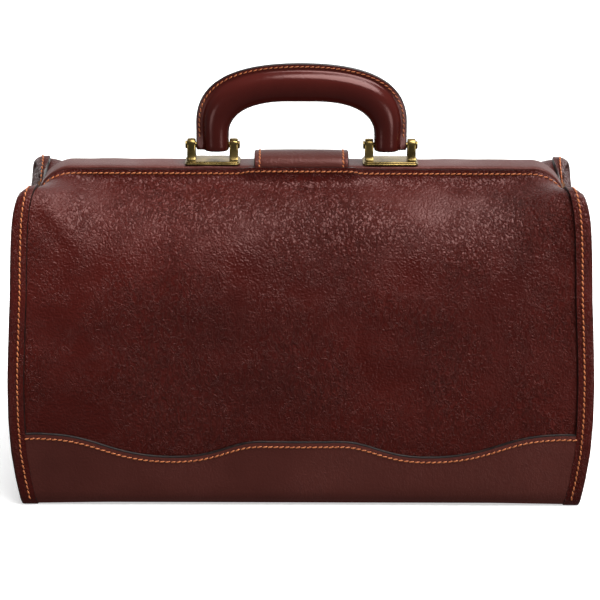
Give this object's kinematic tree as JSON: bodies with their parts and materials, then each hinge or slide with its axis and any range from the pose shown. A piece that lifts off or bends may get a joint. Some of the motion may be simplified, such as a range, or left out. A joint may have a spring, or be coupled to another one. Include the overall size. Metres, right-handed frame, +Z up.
{
  "type": "doctor bag",
  "caption": "Leather doctor bag with a hinged steel mouth frame, a swinging grip handle and a strap that closes on a brass lock.",
  "frame": {"origin": "underside of the base, at the middle of the bounding box", "axes": "+X along the bag to the right as seen from the rear, +Y towards the front where the strap and lock are, +Z up"},
  "size_m": [0.408, 0.2012, 0.3],
  "materials": {
    "wall_leather": "semi-gloss pebbled deep red-brown",
    "trim_leather": "smooth semi-gloss red-brown",
    "handle_leather": "polished red-brown",
    "lining": "matt woven cotton",
    "board": "matt grey-brown fibreboard",
    "steel": "satin",
    "brass": "antiqued, semi-polished"
  },
  "bodies": {
    "bag_body": {"base_panel": "wall_leather", "base_board": "board", "base_lining": "lining", "rear_panel": "wall_leather", "rear_panel_top": "wall_leather", "rear_lining": "lining", "rear_lining_top": "lining", "rear_base_overlay": "trim_leather", "front_panel": "wall_leather", "front_panel_top": "wall_leather", "front_lining": "lining", "front_lining_top": "lining", "front_base_overlay": "trim_leather", "inner_pocket": "lining", "gusset_left": "wall_leather", "gusset_left_rear_fold": "wall_leather", "gusset_left_front_fold": "wall_leather", "left_lining": "lining", "gusset_right": "wall_leather", "gusset_right_rear_fold": "wall_leather", "gusset_right_front_fold": "wall_leather", "right_lining": "lining", "hinge_rivet_left": "brass", "hinge_rivet_right": "brass", "lock_plate": "brass", "lock_rivet_1": "brass", "lock_rivet_2": "brass", "lock_rivet_3": "brass", "lock_rivet_4": "brass", "lock_case": "brass"},
    "rear_frame": {"rear_frame_steel": "steel", "rear_frame_cover": "trim_leather", "bracket_left": "brass", "bracket_right": "brass", "handle_pin_left": "brass", "handle_pin_right": "brass", "bracket_screw_1": "steel", "bracket_screw_2": "steel", "bracket_screw_3": "steel", "bracket_screw_4": "steel"},
    "front_frame": {"front_frame_steel": "steel", "front_frame_cover": "trim_leather"},
    "handle": {"handle_grip": "handle_leather", "handle_core": "steel"},
    "closing_strap": {"strap": "trim_leather", "strap_tongue": "brass", "tongue_rivet_1": "brass", "tongue_rivet_2": "brass"},
    "lock_button": {"lock_button": "brass"},
    "lock_cylinder": {"lock_cylinder": "brass"}
  },
  "joints": [
    {"name": "rear_frame_hinge", "type": "hinge", "parent": "bag_body", "child": "rear_frame", "pos_m": [0, 0, 0.15], "axis": [1, 0, 0], "range_deg": [0, 65], "deforming": ["rear_panel_top", "rear_lining_top", "gusset_left_rear_fold", "gusset_right_rear_fold"]},
    {"name": "front_frame_hinge", "type": "hinge", "parent": "bag_body", "child": "front_frame", "pos_m": [0, 0, 0.15], "axis": [-1, 0, 0], "range_deg": [0, 65], "deforming": ["front_panel_top", "front_lining_top", "gusset_left_front_fold", "gusset_right_front_fold"]},
    {"name": "handle_swing", "type": "hinge", "parent": "rear_frame", "child": "handle", "pos_m": [0, 0, 0.24], "axis": [1, 0, 0], "range_deg": [-80, 80]},
    {"name": "strap_lift", "type": "hinge", "parent": "rear_frame", "child": "closing_strap", "pos_m": [0, -0.0141, 0.2232], "axis": [1, 0, 0], "range_deg": [0, 50], "deforming": ["strap"]},
    {"name": "lock_button_push", "type": "slide", "parent": "bag_body", "child": "lock_button", "axis": [0, -0.9781, -0.2079], "range_m": [0, 0.0014]},
    {"name": "lock_cylinder_turn", "type": "hinge", "parent": "bag_body", "child": "lock_cylinder", "pos_m": [-0.008, 0.09583, 0.11225], "axis": [0, 0.9781, 0.2079], "range_deg": [0, 90]}
  ],
  "couplings": [
    {"joint": "front_frame_hinge", "follows": "rear_frame_hinge", "ratio": 1}
  ]
}
